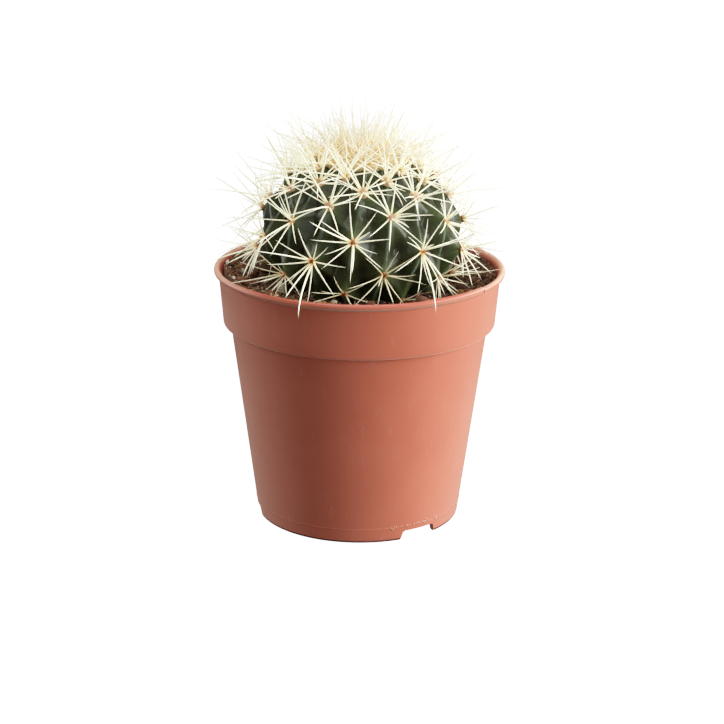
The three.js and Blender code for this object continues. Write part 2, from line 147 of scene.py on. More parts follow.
# Pot's edges, whose colours carry painted light, and moulding line
# Azimuths over which the lip's pale sides, a painted sheen, give way to the front's own colour
SIDE_SHEEN_TO_FRONT = (80, 35)
FRONT_SHADE = 0.6
# Painted shade on the pot's inside
INSIDE_PAINTED_SHADE = 0.9
# A paler tone under the lip: painted light that lifts the shade there
UNDER_LIP_PAINTED_LIGHT = 0.3
MOULD_LINE = 6.2
MOULD_LINE_HIGH = 0.12
MOULD_LINE_WIDE = 0.4
FLASH_COUNT = 26
FLASH_FRONT = (18, 52)

# Soil
GAP = 0.3
SOIL_LEVEL = 98.3
SOIL_TILT = 1.5
SOIL_BANK = 4.4
BANK_FROM = 38
BANK_POWER = 1.4
BROAD_HUMP = 0.6
BROAD_SPAN = 4.4
FINE_HUMP = 0.4
FINE_SPAN = 3.3
# Azimuth and height of the heaps along the pot's wall
HEAPS = ((-105, 1.2), (110, 2.6))
HEAP_SPAN = 50
EDGE_RISE = 0.8
EDGE_RUN = 8
SOIL_RINGS = 56
SOIL_STEPS = 220
SOIL_RIPPLES = ((0.5, 3.2, 41), (0.35, 1.5, 42))
BED_BELOW = 0.3
CRUMBS_FROM = 26
# Name, count, half widths, fineness and gap to the pot of each kind of crumb
CRUMBS = (
    ("soil_clods", 90, (1.2, 2.4), 3, 2.6),
    ("soil_crumbs", 700, (0.5, 1.2), 2, 1.4),
    ("soil_grains", 4200, (0.2, 0.5), 1, 0.7),
)
CRUMB_SHADES = (0.1, 0.35, 0.5, 0.64, 0.8, 0.92, 1.0)
CRUMB_CHANCES = (0.25, 0.27, 0.18, 0.15, 0.09, 0.05, 0.01)
# Painted light: how much paler the crumbs are made, a millimetre towards the left
LEFT_PAINTED_LIGHT = 0.004
FIBRE_COUNT = 260
FIBRE_SHADE = 0.88

# Stem
STEM_CENTRE = 119.8
STEM_RADIUS = 42.5
STEM_HALF_HEIGHT = 33.2
TURN = 99.695
FRONT_AZIMUTH = -3.7
SHORT_STEP = 7
LONG_STEP = 11
# Short and long steps from one areole to the next
SHORTS_ON, LONGS_ON = -3, 2
FRONT_SHARE = 0.807
CROWN_RATE = 0.0565
BELT_STEP = 0.0363
BURIED_FROM = 22
FIRST_AREOLE = -60
LAST_AREOLE = 42
RIB_DIP = 2.6
LONG_DIP = 3.7
SHORT_DIP = 5.2
PIT = 6.9
PIT_PLACE = (0.7, 0.37)
DIP_PLACE = 0.58
CELL_STEPS = 26
RIDGE_SOFTENING = 2
# The pale line down each rib, which is wax and a painted highlight
STREAK_WIDTH = 0.045
STREAK_START = (0.04, 0.2)
STREAK_END = (0.46, 0.68)
STEM_RIPPLES = ((0.25, 17, 11), (0.05, 2.6, 12))

# Spines: clusters are counted from the crown downwards, and 0 is the front one
TOP_CLUSTER = -33
BOTTOM_CLUSTER = 22
YOUNG_CLUSTERS = (-8, -34)
WOOLLY_CLUSTERS = (4, -20)
LOW_CLUSTERS = (4, 16)
TUFT_FROM = -23
# Clusters from here down are duller and darker, partly for age and partly as painted shade near the
# soil
OLD_SHADED_FROM = 11
TIP_LEAST = 6
RADIAL_RADIUS = 0.34
CENTRAL_RADIUS = 0.46
CENTRAL_LIFT = (0.55, 0.75)
THIN_LOW = 0.72
ROOT_OFF = 0.5
ROOT_SPREAD = 0.8
THICKNESSES = (0.85, 1.1)
WAVER = 0.012
BOW = 0.03
HANGING_BOW = 0.07
HANGING_LENGTH = (25, 28)
HANGS_PAST_RIM = 3
# How much lower than in the node the hanging needles end, at the left and at the right
HANG_DROPS = (3.4, 0.9)
BELT_NEEDLES = 2
YOUNG_NEEDLES = 4
LOW_NEEDLES = 1
TUFT_NEEDLES = 5
BETWEEN_LENGTHS = (15, 24)
PAD_WIDTHS = (1.15, 2.3)
PAD_HEIGHTS = (0.9, 1.6)
WOOLLY_SHADE = 0.62
PAD_HAIRS = 46
HAIR_RADIUS = 0.07
SPINE_GLOW = 0.55
# Less glow for the low spines: part of their painted shade
OLD_SHADED_GLOW = 0.2
CROWN_GLOW = 0.4

# Crown
CROWN_LAST = -100
LEANING_LAST = -60
CROWN_NEEDLES = 2
CROWN_TIP_LEAST = 7
CROWN_PAD = (2.3, 2.4)
# Share of the needles that keep their length, in the middle and at the edge
LONG_SHARES = (0.5, 0.2)
WOOL_RADIUS = 18.2
WOOL_MARGIN = 1.4
WOOL_DEEP = 1.5
WOOL_HIGH = 1.0
WOOL_STEPS = 96


def seeded(number):
    """Random draws that are the same in every run."""
    return np.random.default_rng(number)


def mix(low, high, share):
    return low + (high - low) * share


def smooth(low, high, value):
    """0 below low, 1 above high, and a smooth rise between them."""
    share = np.clip((value - low) / (high - low), 0, 1)
    return share * share * (3 - 2 * share)


def unit(vectors):
    return vectors / np.maximum(np.linalg.norm(vectors, axis=-1, keepdims=True), 1e-9)


def at_azimuth(radius, azimuth, height):
    """Points at a distance from the pot's axis."""
    angle = np.radians(azimuth)
    return np.stack(np.broadcast_arrays(
        radius * np.sin(angle), -radius * np.cos(angle), height), axis=-1).astype(float)


def ripple(points, span, seed):
    """Smooth noise of about -1 to 1, whose humps are about span wide."""
    draws = seeded(seed)
    directions = unit(draws.normal(size=(RIPPLE_WAVES, 3)))
    directions = directions * draws.uniform(*RIPPLE_PITCHES, (RIPPLE_WAVES, 1))
    phases = draws.uniform(0, 2 * np.pi, RIPPLE_WAVES)
    waves = np.sin(points @ directions.T * (2 * np.pi / span) + phases)
    return waves.sum(-1) / math.sqrt(RIPPLE_WAVES / 2) / 2


def ripples(points, kinds):
    """Ripples on top of each other, each given by its height, span and seed."""
    return sum(high * ripple(points, span, seed) for high, span, seed in kinds)


# Meshes
class Heap:
    """Gathers the points, faces and shades of shapes that become one mesh."""

    def __init__(self):
        self.points, self.faces, self.shades, self.count = [], [], [], 0

    def add(self, points, *faces, shade=0.0):
        points = np.asarray(points, float).reshape(-1, 3)
        self.points.append(points)
        self.shades.append(np.broadcast_to(shade, len(points)).astype(np.float32))
        self.faces.extend(np.asarray(part) + self.count for part in faces if len(part))
        self.count += len(points)
        return self


def new_object(name, data):
    made = bpy.data.objects.new(name, data)
    bpy.context.scene.collection.objects.link(made)
    return made


def piece(name, heap, material, replaces=(), sharp=None):
    """Makes a heap into a smooth-shaded mesh object that rides on the part's body."""
    points = np.concatenate(heap.points) * MM
    sizes = np.concatenate([np.full(len(part), part.shape[1]) for part in heap.faces])
    corners = np.concatenate([part.ravel() for part in heap.faces])
    mesh = bpy.data.meshes.new(name)
    mesh.vertices.add(len(points))
    mesh.vertices.foreach_set("co", points.astype(np.float32).ravel())
    mesh.loops.add(len(corners))
    mesh.loops.foreach_set("vertex_index", corners.astype(np.int32))
    mesh.polygons.add(len(sizes))
    mesh.polygons.foreach_set("loop_start", (np.cumsum(sizes) - sizes).astype(np.int32))
    mesh.update(calc_edges=True)
    mesh.validate()
    shade = mesh.attributes.new("shade", "FLOAT", "POINT")
    shade.data.foreach_set("value", np.concatenate(heap.shades))
    mesh.shade_smooth()
    if sharp is not None:
        mesh.set_sharp_from_angle(angle=math.radians(sharp))
    mesh.materials.append(material)
    made = new_object(name, mesh)
    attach(made, BODY)
    if replaces:
        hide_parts(*replaces)
    return made


def ball(level):
    """Points and triangles of a unit ball."""
    shape = bmesh.new()
    bmesh.ops.create_icosphere(shape, subdivisions=level, radius=1)
    points = np.array([vert.co for vert in shape.verts])
    faces = np.array([[vert.index for vert in face.verts] for face in shape.faces])
    shape.free()
    return points, faces


def ring_quads(rings, sides):
    """Quads that join rings of points, the points round a ring, and those that follow them."""
    low = np.arange(sides)
    high = (low + 1) % sides
    base = (np.arange(rings - 1) * sides)[:, None]
    corners = [base + low, base + high, base + sides + high, base + sides + low]
    return np.stack(corners, -1).reshape(-1, 4), low, high


def revolved(profile, steps):
    """A closed solid turned from [radius, height] pairs that start and end on the axis."""
    profile = np.asarray(profile, float)
    azimuths = np.arange(steps) * 360 / steps
    rings = at_azimuth(profile[1:-1, :1], azimuths[None, :], profile[1:-1, 1:])
    quads, low, high = ring_quads(len(rings), steps)
    first = len(rings) * steps
    end = first - steps
    fans = np.concatenate([
        np.stack([np.full(steps, first), high, low], -1),
        np.stack([np.full(steps, first + 1), end + low, end + high], -1),
    ])
    poles = np.array([[0, 0, profile[0, 1]], [0, 0, profile[-1, 1]]])
    return np.concatenate([rings.reshape(-1, 3), poles]), quads, fans


def arc(radius, height, wide, start, end, steps, high=None):
    """Points of a round or oval corner between two angles in degrees."""
    angles = np.radians(np.linspace(start, end, steps + 1))
    high = wide if high is None else high
    return [[radius + wide * math.cos(a), height + high * math.sin(a)] for a in angles]


def tapers(heap, roots, tips, radii, bends, sides=SPINE_SIDES, steps=SPINE_STEPS):
    """Adds curved, closed needles that taper to a point. The shade runs from 0 at the root to 1."""
    count = len(roots)
    part = np.linspace(0, 1, steps + 1)[:-1] ** ROOT_CROWDING
    chords = tips - roots
    rise = (4 * part * (1 - part))[None, :, None]
    paths = roots[:, None] + chords[:, None] * part[None, :, None] + bends[:, None] * rise
    across = unit(np.cross(chords, SKEW))
    beside = unit(np.cross(chords, across))
    angles = (2 * np.pi * np.arange(sides) / sides)[None, :, None]
    spokes = across[:, None] * np.cos(angles) + beside[:, None] * np.sin(angles)
    swell = 1 + ROOT_SWELL * np.exp(-part / SWELL_SHARE)
    sizes = radii[:, None] * swell * np.sqrt(1 - part)
    rings = paths[:, :, None] + spokes[:, None] * sizes[:, :, None, None]
    points = np.concatenate([rings.reshape(count, -1, 3), tips[:, None], roots[:, None]], 1)
    each = steps * sides + 2
    quads, low, high = ring_quads(steps, sides)
    last = (steps - 1) * sides
    ends = np.concatenate([
        np.stack([last + low, last + high, np.full(sides, each - 2)], -1),
        np.stack([high, low, np.full(sides, each - 1)], -1),
    ])
    offsets = (np.arange(count) * each)[:, None, None]
    shade = np.concatenate([np.repeat(part, sides), [1, 0]])
    heap.add(points, (quads + offsets).reshape(-1, 4), (ends + offsets).reshape(-1, 3),
             shade=np.tile(shade, count))


def lumps(heap, centres, frames, sizes, seed, level=1, rough=0.25, shade=0.0):
    """Adds irregular lumps, each with three directions and its half widths along them."""
    points, faces = ball(level)
    draws = seeded(seed)
    count = len(centres)
    swell = np.ones((count, len(points)))
    for _ in range(LUMP_WAVES):
        directions = draws.normal(size=(count, 3)) * LUMP_PITCH
        phases = draws.uniform(0, LUMP_PHASE, (count, 1))
        swell += rough / 2 * np.sin(directions @ points.T + phases)
    local = points[None] * swell[:, :, None] * sizes[:, None]
    world = centres[:, None] + np.einsum("cpk,ckx->cpx", local, frames)
    offsets = (np.arange(count) * len(points))[:, None, None]
    shades = np.repeat(np.broadcast_to(shade, count), len(points))
    heap.add(world, (faces + offsets).reshape(-1, 3), shade=shades)


def turned_frames(draws, count):
    """Random sets of three directions at right angles."""
    first = unit(draws.normal(size=(count, 3)))
    second = unit(np.cross(first, draws.normal(size=(count, 3))))
    return np.stack([first, second, np.cross(first, second)], 1)


# Materials
def hue(code):
    """Linear colour of a hex code."""
    parts = np.array([int(code[k:k + 2], 16) for k in (0, 2, 4)]) / 255
    linear = np.where(parts <= 0.04045, parts / 12.92, ((parts + 0.055) / 1.055) ** 2.4)
    return (*linear, 1.0)


class Paint:
    """Builds the nodes of one procedural material. A socket's name is written with underscores."""

    def __init__(self, name, **sockets):
        self.material = bpy.data.materials.new(name)
        self.material.use_nodes = True
        self.tree = self.material.node_tree
        self.shader = self.tree.nodes["Principled BSDF"]
        self.place = self.node("ShaderNodeTexCoord").outputs["Object"]
        for socket, value in sockets.items():
            self.shader.inputs[socket.replace("_", " ")].default_value = value

    def node(self, kind, inputs=None, **settings):
        made = self.tree.nodes.new(kind)
        for key, value in settings.items():
            setattr(made, key, value)
        for key, value in (inputs or {}).items():
            if isinstance(value, bpy.types.NodeSocket):
                self.tree.links.new(value, made.inputs[key])
            else:
                made.inputs[key].default_value = value
        return made

    def noise(self, per_mm, detail=4.0, roughness=0.6, stretch=None):
        """Noise with about this many humps per millimetre."""
        place = self.place
        if stretch is not None:
            made = self.node("ShaderNodeVectorMath", {0: place, 1: stretch}, operation="MULTIPLY")
            place = made.outputs[0]
        made = self.node("ShaderNodeTexNoise", {
            "Vector": place, "Scale": per_mm / MM, "Detail": detail, "Roughness": roughness})
        return made.outputs["Fac"]

    def shade(self, name="shade"):
        """A value that the mesh carries at its points."""
        return self.node("ShaderNodeAttribute", attribute_name=name).outputs["Fac"]

    def ramp(self, value, *stops):
        """Hex colours, or plain numbers, between which a value picks."""
        made = self.node("ShaderNodeValToRGB", {"Fac": value})
        elements = made.color_ramp.elements
        while len(elements) < len(stops):
            elements.new(0.5)
        for element, (position, color) in zip(elements, stops):
            element.position = position
            element.color = hue(color) if isinstance(color, str) else (color, color, color, 1)
        return made.outputs["Color"]

    def blend(self, share, first, second):
        inputs = {"Factor": share, "A": first, "B": second}
        return self.node("ShaderNodeMix", inputs, data_type="RGBA").outputs["Result"]

    def bump(self, height, deep_mm, strength):
        """Relief on top of the relief that the material already has."""
        inputs = {"Height": height, "Distance": deep_mm * MM, "Strength": strength}
        made = self.node("ShaderNodeBump", inputs)
        normal = self.shader.inputs["Normal"]
        if normal.is_linked:
            self.tree.links.new(normal.links[0].from_socket, made.inputs["Normal"])
        self.tree.links.new(made.outputs["Normal"], normal)

    def set(self, socket, value):
        self.tree.links.new(value, self.shader.inputs[socket])


def pot_material():
    """Moulded plastic under a dull bloom, with scuffs that run up the wall."""
    paint = Paint("pot_plastic", IOR=1.5, Specular_IOR_Level=0.22, Sheen_Weight=0.62,
                  Sheen_Roughness=0.5, Sheen_Tint=(1, 0.73, 0.6, 1))
    broad = paint.noise(0.02, detail=3)
    grain = paint.noise(1.6, detail=3)
    marks = paint.noise(0.25, detail=6, roughness=0.7, stretch=(1, 1, 0.35))
    color = paint.ramp(broad, (0.35, "aa4e36"), (0.65, "b2563e"))
    color = paint.blend(paint.ramp(marks, (0.58, 0.0), (0.74, 0.25)), color, hue("bd7b6a"))
    paint.set("Base Color", color)
    paint.set("Roughness", paint.ramp(grain, (0.3, 0.44), (0.7, 0.58)))
    paint.bump(grain, deep_mm=0.03, strength=0.5)
    paint.bump(broad, deep_mm=0.3, strength=0.4)
    return paint.material


def edge_material():
    """Edges without bloom. The shade runs from a painted sheen at the sides to the front, and to
    painted shade at the foot.
    """
    paint = Paint("pot_edge_painted_light", IOR=1.5, Roughness=0.45)
    paint.set("Base Color", paint.ramp(
        paint.shade(), (0.0, "cd9a82"), (FRONT_SHADE, "9a402a"), (0.8, "9a402a"), (1.0, "571e11")))
    return paint.material


def stem_material():
    """Waxy skin: painted shade darkens the grooves, the ridges are greener, and each rib has a pale
    line of wax and painted highlight.
    """
    paint = Paint("stem_skin", IOR=1.45, Specular_IOR_Level=0.13, Coat_Weight=0.15,
                  Coat_Roughness=0.14)
    patches = paint.noise(0.1, detail=3)
    speckle = paint.noise(1.2, detail=4)
    # Colour by height: near black in the pits, which is painted shade
    color = paint.ramp(
        paint.shade(), (0.0, "13130b"), (0.35, "1e2010"), (0.75, "2b3219"), (0.93, "465231"))
    for share, code in (
        (paint.ramp(patches, (0.4, 0.0), (0.7, 0.5)), "30381a"),
        (paint.ramp(speckle, (0.55, 0.0), (0.8, 0.25)), "454c34"),
        # Pale wax and a painted highlight down each rib
        (paint.ramp(paint.shade("rib_wax_highlight"), (0.2, 0.0), (1.0, 0.6)), "66756d"),
    ):
        color = paint.blend(share, color, hue(code))
    paint.set("Base Color", color)
    paint.set("Roughness", paint.ramp(speckle, (0.3, 0.42), (0.7, 0.55)))
    paint.bump(speckle, deep_mm=0.05, strength=0.3)
    return paint.material


def needle_material(name, glow, *stops):
    """Pale horn that light shines through, which a faint glow stands for."""
    paint = Paint(name, IOR=1.5, Roughness=0.4, Emission_Strength=glow)
    color = paint.ramp(paint.shade(), *stops)
    paint.set("Base Color", color)
    paint.set("Emission Color", color)
    return paint.material


def felt_material():
    """Felt that is brown on old areoles and pale on young ones, with painted shade between its
    hairs.
    """
    paint = Paint("felt", Roughness=0.95, IOR=1.3)
    fuzz = paint.noise(3.0, detail=4)
    hairs = paint.ramp(paint.shade(), (0.0, "8f5636"), (0.25, "b4907e"), (0.5, "bc9880"),
                       (0.75, "c9b186"), (1.0, "d1c098"))
    # A darker tone mixed in by noise: painted shade between the hairs
    depth = paint.ramp(paint.shade(), (0.0, "784022"), (0.5, "8c5c43"), (0.75, "b58d57"),
                       (1.0, "bf9b65"))
    paint.set("Base Color", paint.blend(paint.ramp(fuzz, (0.35, 0.45), (0.65, 0.0)), hairs, depth))
    paint.bump(fuzz, deep_mm=0.3, strength=0.8)
    return paint.material


def soil_material():
    paint = Paint("soil_peat", Roughness=0.95, IOR=1.3)
    crumbs = paint.noise(0.9, detail=6, roughness=0.7)
    paint.set("Base Color", paint.ramp(
        crumbs, (0.35, "2b1b13"), (0.5, "4e3323"), (0.6, "73533a"), (0.7, "937150")))
    paint.bump(crumbs, deep_mm=0.8, strength=0.9)
    return paint.material


def crumb_material():
    """Peat, bark and pale grains, which the shade picks between."""
    paint = Paint("soil_crumbs", Roughness=0.9, IOR=1.3)
    grain = paint.noise(2.2, detail=5, roughness=0.7)
    kind = paint.ramp(paint.shade(), (0.0, "301d13"), (0.4, "573927"), (0.62, "7a4b33"),
                      (0.8, "8d6545"), (0.92, "b39368"), (1.0, "d1c8b2"))
    dark = paint.ramp(grain, (0.35, 0.55), (0.6, 0.0))
    paint.set("Base Color", paint.blend(dark, kind, hue("25160f")))
    paint.bump(grain, deep_mm=0.3, strength=0.8)
    return paint.material


def flash_material():
    paint = Paint("flash", Roughness=0.6, IOR=1.45)
    specks = paint.noise(2.0, detail=3)
    paint.set("Base Color", paint.ramp(specks, (0.3, "be7a63"), (0.7, "d1ab98")))
    return paint.material


def root_material():
    paint = Paint("root_bark", Roughness=0.9, IOR=1.3)
    bark = paint.noise(0.8, detail=5)
    paint.set("Base Color", paint.ramp(bark, (0.35, "4a3422"), (0.65, "8a6a48")))
    paint.bump(bark, deep_mm=0.3, strength=0.8)
    return paint.material


def floor_material():
    """White ground that is as bright as the picture's white, whatever light falls on it."""
    return Paint("floor_white", Roughness=0.9, IOR=1.3, Base_Color=(0.1, 0.1, 0.1, 1),
                 Emission_Color=(1, 1, 1, 1), Emission_Strength=WHITE_LEVEL).material


# The pot
POT_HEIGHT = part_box("pot")[1].z / MM
RIM_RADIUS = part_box("pot")[1].x / MM
FLOOR_TOP = FLOOR_UNDERSIDE + FLOOR_THICKNESS
LEDGE = COLLAR_FOOT + WALL
LEDGE_TOP = LEDGE + COLLAR_ROUND


def azimuth_of(x, y):
    return np.degrees(np.arctan2(x, -y))


def wall_radius(height):
    return mix(FOOT_RADIUS, NECK_RADIUS, height / COLLAR_FOOT)


def collar_radius(height):
    share = (height - COLLAR_FOOT) / (POT_HEIGHT - COLLAR_FOOT)
    return mix(COLLAR_FOOT_RADIUS, COLLAR_TOP_RADIUS, share)


def pot_profile():
    """The pot's section, from below the middle of its floor, outwards and up, to above it."""
    lip_centre = RIM_RADIUS - LIP_RADIUS
    lip_height = POT_HEIGHT - LIP_RADIUS
    underside = NECK_RADIUS + COLLAR_UNDERSIDE
    round_top = COLLAR_FOOT + COLLAR_ROUND
    heights = [MOULD_LINE + step * MOULD_LINE_WIDE / 2 for step in (-5, -2, -1, 0, 1, 2, 5)]
    line = [[wall_radius(height), height] for height in heights]
    line[3][0] += MOULD_LINE_HIGH
    wall = [[wall_radius(height), height] for height in np.linspace(8, COLLAR_FOOT - 0.5, 16)]
    collar = [[collar_radius(height), height]
              for height in np.linspace(round_top, lip_height - 1.9, 6)]
    foot_inside = FOOT_RADIUS - FOOT_WALL
    return [
        [0, FLOOR_UNDERSIDE],
        [foot_inside - FLOOR_BEVEL, FLOOR_UNDERSIDE],
        [foot_inside, FLOOR_UNDERSIDE - FLOOR_BEVEL],
        [foot_inside, FOOT_BEVEL],
        [foot_inside + FOOT_BEVEL, 0],
        *arc(FOOT_RADIUS - FOOT_ROUND, FOOT_ROUND, FOOT_ROUND, -90, -8, 4),
        [wall_radius(FOOT_EDGE), FOOT_EDGE],
        *line,
        *wall,
        [NECK_RADIUS, COLLAR_FOOT - NECK_BEVEL],
        [NECK_RADIUS + NECK_BEVEL, COLLAR_FOOT],
        *arc(underside, round_top, collar_radius(round_top) - underside, -90, 0, 8, COLLAR_ROUND),
        *collar[1:],
        *arc(lip_centre, lip_height, LIP_RADIUS, -45, 120, 12),
        [collar_radius(lip_height) - WALL, lip_height - 0.6],
        [collar_radius(LEDGE_TOP) - WALL, LEDGE_TOP],
        [NECK_RADIUS - WALL, LEDGE],
        [wall_radius(FLOOR_TOP + 1) - WALL, FLOOR_TOP + 1],
        [wall_radius(FLOOR_TOP) - WALL - 1, FLOOR_TOP],
        [0, FLOOR_TOP],
    ]


def pot_points(points):
    """A moulded pot's unevenness: a raised stretch of lip with a hard end, and a slight wave."""
    azimuth = azimuth_of(points[:, 0], points[:, 1])
    radius = np.hypot(points[:, 0], points[:, 1])
    on_lip = smooth(POT_HEIGHT - 2.4, POT_HEIGHT - 1.2, points[:, 2])
    on_lip = on_lip * (radius > COLLAR_TOP_RADIUS - 2)
    stretch = smooth(LIP_LIFT_FROM, LIP_LIFT_FROM + LIP_LIFT_RUN, azimuth) * (azimuth < LIP_LIFT_TO)
    moved = points.copy()
    moved[:, 2] += LIP_LIFT * stretch * on_lip
    wave = sum(high * np.sin(np.radians(lobes * azimuth) + phase)
               for lobes, high, phase in WALL_WAVES)
    share = smooth(0, POT_HEIGHT, points[:, 2]) * smooth(20, 40, radius)
    moved[:, :2] *= (1 + wave * share / np.maximum(radius, 1))[:, None]
    return moved


def notch_cutter(azimuth):
    """A prism with rounded upper corners that cuts a drain notch through the foot ring."""
    half = NOTCH_WIDTH / 2
    outline = np.array([
        [-half - 1, -2], [half + 1, -2], [half + 0.7, 0],
        *arc(half - NOTCH_ROUND, NOTCH_HEIGHT - NOTCH_ROUND, NOTCH_ROUND, 0, 90, 6),
        *arc(NOTCH_ROUND - half, NOTCH_HEIGHT - NOTCH_ROUND, NOTCH_ROUND, 90, 180, 6),
        [-half - 0.7, 0],
    ])
    count = len(outline)
    points = np.concatenate([
        np.stack([outline[:, 0], np.full(count, -depth), outline[:, 1]], -1)
        for depth in (FOOT_RADIUS - 2 * FOOT_WALL, FOOT_RADIUS + 2 * FOOT_WALL)])
    cosine, sine = math.cos(math.radians(azimuth)), math.sin(math.radians(azimuth))
    spin = np.array([[cosine, sine, 0], [-sine, cosine, 0], [0, 0, 1]])
    low = np.arange(count)
    high = (low + 1) % count
    sides = np.stack([low, high, count + high, count + low], -1)
    return points @ spin, sides, low[None, ::-1], (count + low)[None, :]


def slit_cutter():
    """A thin blade that cuts the slit at the hard end of the lip's raised stretch."""
    half = SLIT_WIDTH / 2 / RIM_RADIUS
    inner, outer = RIM_RADIUS - SLIT_DEPTH, RIM_RADIUS + 1
    low, high = POT_HEIGHT - 2 * LIP_RADIUS, POT_HEIGHT + 1
    corners = [(inner, -half), (outer, -half), (outer, half), (inner, half)]
    points = [at_azimuth(radius, LIP_LIFT_TO + math.degrees(turn), height)
              for height in (low, high) for radius, turn in corners]
    faces = [[0, 3, 2, 1], [4, 5, 6, 7], [0, 1, 5, 4], [1, 2, 6, 5], [2, 3, 7, 6], [3, 0, 4, 7]]
    return points, faces


def drain_cutter(hole):
    """A drum that cuts a drain hole through the floor."""
    depth = FLOOR_THICKNESS * 2
    drum = [[0, -depth], [DRAIN_RADIUS, -depth], [DRAIN_RADIUS, depth], [0, depth]]
    points, quads, fans = revolved(drum, DRAIN_SIDES)
    place = at_azimuth(DRAIN_RING, 360 * hole / DRAIN_COUNT, FLOOR_UNDERSIDE + FLOOR_THICKNESS / 2)
    return points + place, quads, fans


def cut(made, heap):
    """Cuts the solids of a heap out of a piece."""
    tool = piece("cutter", heap, made.data.materials[0])
    modifier = made.modifiers.new("cut", "BOOLEAN")
    modifier.operation = "DIFFERENCE"
    modifier.solver = "EXACT"
    modifier.object = tool
    bpy.context.view_layer.update()
    shape = made.evaluated_get(bpy.context.evaluated_depsgraph_get())
    mesh = bpy.data.meshes.new_from_object(shape)
    made.modifiers.clear()
    made.data = mesh
    mesh.shade_smooth()
    mesh.set_sharp_from_angle(angle=math.radians(POT_CREASE))
    bpy.data.objects.remove(tool)


def lay_edges(made, material):
    """Gives the edge plastic to the lip's top and underside, the foot's edge and the inside."""
    mesh = made.data
    mesh.materials.append(material)
    centres, normals = np.empty((2, 3 * len(mesh.polygons)), np.float32)
    mesh.polygons.foreach_get("center", centres)
    mesh.polygons.foreach_get("normal", normals)
    height = centres[2::3] / MM
    centres, normals = centres.reshape(-1, 3), normals.reshape(-1, 3)
    inward = (centres[:, :2] * normals[:, :2]).sum(1) < 0
    on_top = (normals[:, 2] > 0.45) & (height > POT_HEIGHT - LIP_RADIUS)
    under_lip = (normals[:, 2] < -0.3) & (height > POT_HEIGHT - LIP_HIGH)
    edges = inward | on_top | under_lip | (height < FOOT_EDGE)
    mesh.polygons.foreach_set("material_index", edges.astype(np.int32))


def edge_painted_light(points):
    """The edge plastic's shade at each point: painted sheen at the sides, painted shade inside and
    at the foot.
    """
    height = points[:, 2]
    azimuth = np.abs(azimuth_of(points[:, 0], points[:, 1]))
    radius = np.hypot(points[:, 0], points[:, 1])
    inside = (height < POT_HEIGHT - 1.5) & (radius < collar_radius(height) - WALL / 2)
    under_lip = (height > POT_HEIGHT - LIP_HIGH) & (height < POT_HEIGHT - LIP_RADIUS - 0.1)
    # The foot's edge gets painted shade, and the lip fades from its sides' painted sheen to the
    # front
    outside = np.where(height < FOOT_EDGE + 0.1, 1, FRONT_SHADE * smooth(*SIDE_SHEEN_TO_FRONT, azimuth))
    # Under the lip, a paler tone is painted light that lifts the shade
    outside = np.where(under_lip, UNDER_LIP_PAINTED_LIGHT, outside)
    # Painted shade on the inside above the ledge
    return np.where(inside & (height > LEDGE), INSIDE_PAINTED_SHADE, outside)


def make_pot():
    points, quads, fans = revolved(pot_profile(), POT_STEPS)
    heap = Heap().add(pot_points(points), quads, fans, shade=edge_painted_light(points))
    made = piece("pot_moulding", heap, pot_material(), ["pot"], sharp=POT_CREASE)
    lay_edges(made, edge_material())
    tools = Heap().add(*slit_cutter())
    for azimuth in NOTCH_AZIMUTHS:
        tools.add(*notch_cutter(azimuth))
    for hole in range(DRAIN_COUNT):
        tools.add(*drain_cutter(hole))
    cut(made, tools)
    make_flash()


def make_flash():
    """Pale crumbs of moulding flash along the line above the foot."""
    draws = seeded(31)
    azimuths = np.concatenate([
        draws.uniform(*FLASH_FRONT, FLASH_COUNT), draws.uniform(-170, 180, FLASH_COUNT // 3)])
    heights = MOULD_LINE + draws.normal(0.2, 0.35, len(azimuths))
    centres = at_azimuth(wall_radius(heights) + 0.05, azimuths, heights)
    heap = Heap()
    sizes = draws.uniform(0.12, 0.34, (len(centres), 3)) * [1.6, 1, 1]
    lumps(heap, centres, turned_frames(draws, len(centres)), sizes, 32, level=2)
    piece("pot_flash", heap, flash_material())


# The soil
SOIL_INSIDE = WALL + GAP
SOIL_EDGE = collar_radius(SOIL_LEVEL) - SOIL_INSIDE


def soil_height(x, y):
    """The uneven surface, lower at the right and banked up along the pot's wall."""
    radius = np.hypot(x, y)
    slope = -SOIL_TILT * x / NECK_RADIUS
    out = np.maximum(radius - BANK_FROM, 0) / (SOIL_EDGE - BANK_FROM)
    bank = SOIL_BANK * out ** BANK_POWER
    broad = BROAD_HUMP * np.sin(x / BROAD_SPAN + 1) * np.cos(y / BROAD_SPAN)
    fine = FINE_HUMP * np.sin((x + 2 * y) / FINE_SPAN)
    rise = EDGE_RISE
    for place, high in HEAPS:
        off = (azimuth_of(x, y) - place + 180) % 360 - 180
        rise = rise + high * np.exp(-(off / HEAP_SPAN) ** 2)
    rise = rise * smooth(SOIL_EDGE - EDGE_RUN, SOIL_EDGE, radius)
    return SOIL_LEVEL + slope + bank + broad + fine + rise


